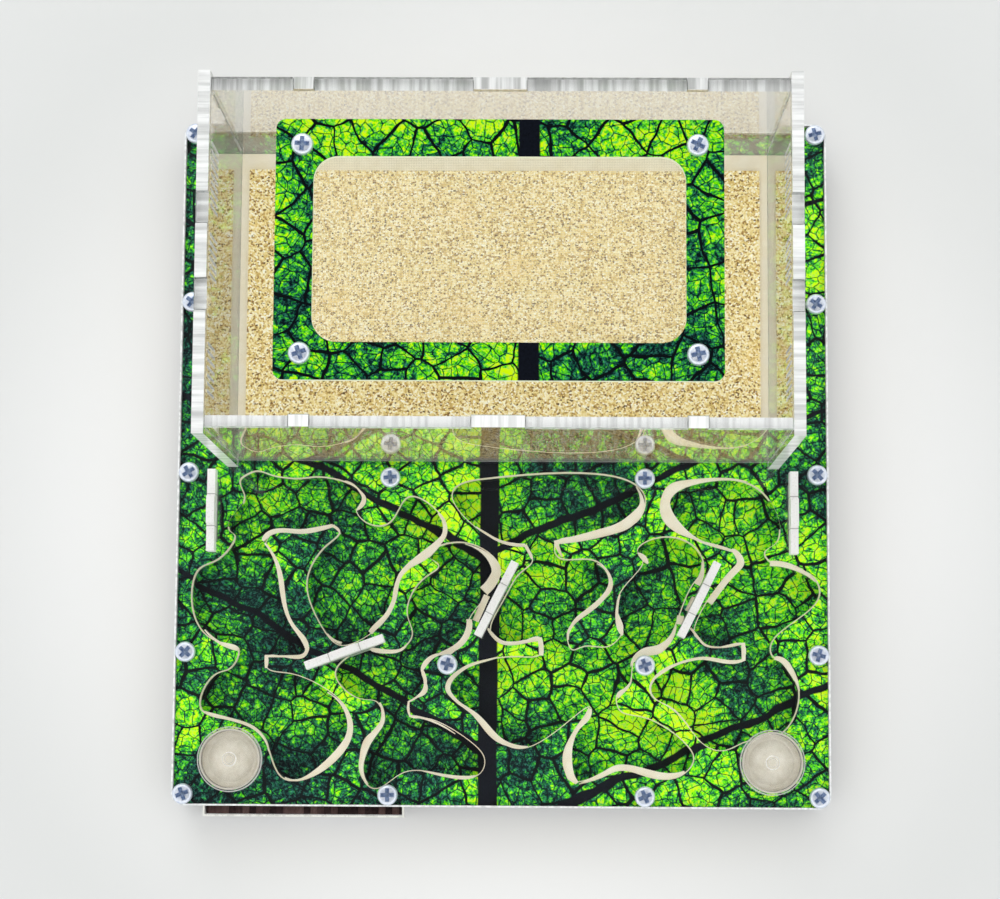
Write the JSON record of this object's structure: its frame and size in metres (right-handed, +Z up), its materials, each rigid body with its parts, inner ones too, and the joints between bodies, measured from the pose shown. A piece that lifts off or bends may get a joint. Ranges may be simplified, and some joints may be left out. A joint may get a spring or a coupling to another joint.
{
  "type": "ant habitat",
  "caption": "Flat ant nest of stacked plates with carved chambers, slide gates, plugs and a water tray, with a clear lidded arena on its back half.",
  "frame": {"origin": "bottom centre of the whole object, on the surface it stands on", "axes": "+Z up, -Y towards the nest's front edge with the tray, +Y towards the arena, +X to the right seen from the front"},
  "size_m": [0.18, 0.1936, 0.1022],
  "materials": {
    "clear_acrylic": "clear, polished, laser-cut edges",
    "leaf_print": null,
    "cream_core": "fine speckled, cut edges",
    "base_board": "smooth satin",
    "zinc_screw": "bright zinc plated",
    "gate_acrylic": "translucent white, frosted edges",
    "plug_acrylic": "clear, turned rings",
    "porous_disc": "unglazed, porous",
    "wick_pad": "ribbed, dark brown",
    "sand": "loose fine grains",
    "steel_mesh": "very fine woven mesh"
  },
  "bodies": {
    "nest": {"base_plate": "base_board", "tray_frame": "base_board", "floor_plate": "leaf_print", "nest_core": "cream_core", "print_sheet": "leaf_print", "cover_plate": "clear_acrylic", "plate_screws": "zinc_screw", "hydration_disc_left": "porous_disc", "hydration_disc_right": "porous_disc", "arena_floor": "clear_acrylic", "sand_layer": "sand", "wall_left": "clear_acrylic", "wall_right": "clear_acrylic", "wall_front": "clear_acrylic", "wall_back": "clear_acrylic"},
    "lid": {"lid_plate": "clear_acrylic", "lid_mesh": "steel_mesh", "lid_frame": "leaf_print", "lid_screws": "zinc_screw"},
    "tray": {"water_tray": "clear_acrylic", "wick_pad": "wick_pad"},
    "gate_1": {"gate_1": "gate_acrylic"},
    "gate_2": {"gate_2": "gate_acrylic"},
    "gate_3": {"gate_3": "gate_acrylic"},
    "gate_4": {"gate_4": "gate_acrylic"},
    "gate_5": {"gate_5": "gate_acrylic"},
    "plug_left": {"plug_left": "plug_acrylic"},
    "plug_right": {"plug_right": "plug_acrylic"}
  },
  "joints": [
    {"name": "lid_lift", "type": "slide", "parent": "nest", "child": "lid", "axis": [0, 0, 1], "range_m": [0, 0.06]},
    {"name": "tray_slide", "type": "slide", "parent": "nest", "child": "tray", "axis": [0, -1, 0], "range_m": [0, 0.045]},
    {"name": "gate_1_slide", "type": "slide", "parent": "nest", "child": "gate_1", "axis": [0, 0, 1], "range_m": [0, 0.009]},
    {"name": "gate_2_slide", "type": "slide", "parent": "nest", "child": "gate_2", "axis": [0, 0, 1], "range_m": [0, 0.009]},
    {"name": "gate_3_slide", "type": "slide", "parent": "nest", "child": "gate_3", "axis": [0, 0, 1], "range_m": [0, 0.009]},
    {"name": "gate_4_slide", "type": "slide", "parent": "nest", "child": "gate_4", "axis": [0, 0, 1], "range_m": [0, 0.009]},
    {"name": "gate_5_slide", "type": "slide", "parent": "nest", "child": "gate_5", "axis": [0, 0, 1], "range_m": [0, 0.009]},
    {"name": "plug_left_lift", "type": "slide", "parent": "nest", "child": "plug_left", "axis": [0, 0, 1], "range_m": [0, 0.012]},
    {"name": "plug_right_lift", "type": "slide", "parent": "nest", "child": "plug_right", "axis": [0, 0, 1], "range_m": [0, 0.012]}
  ]
}
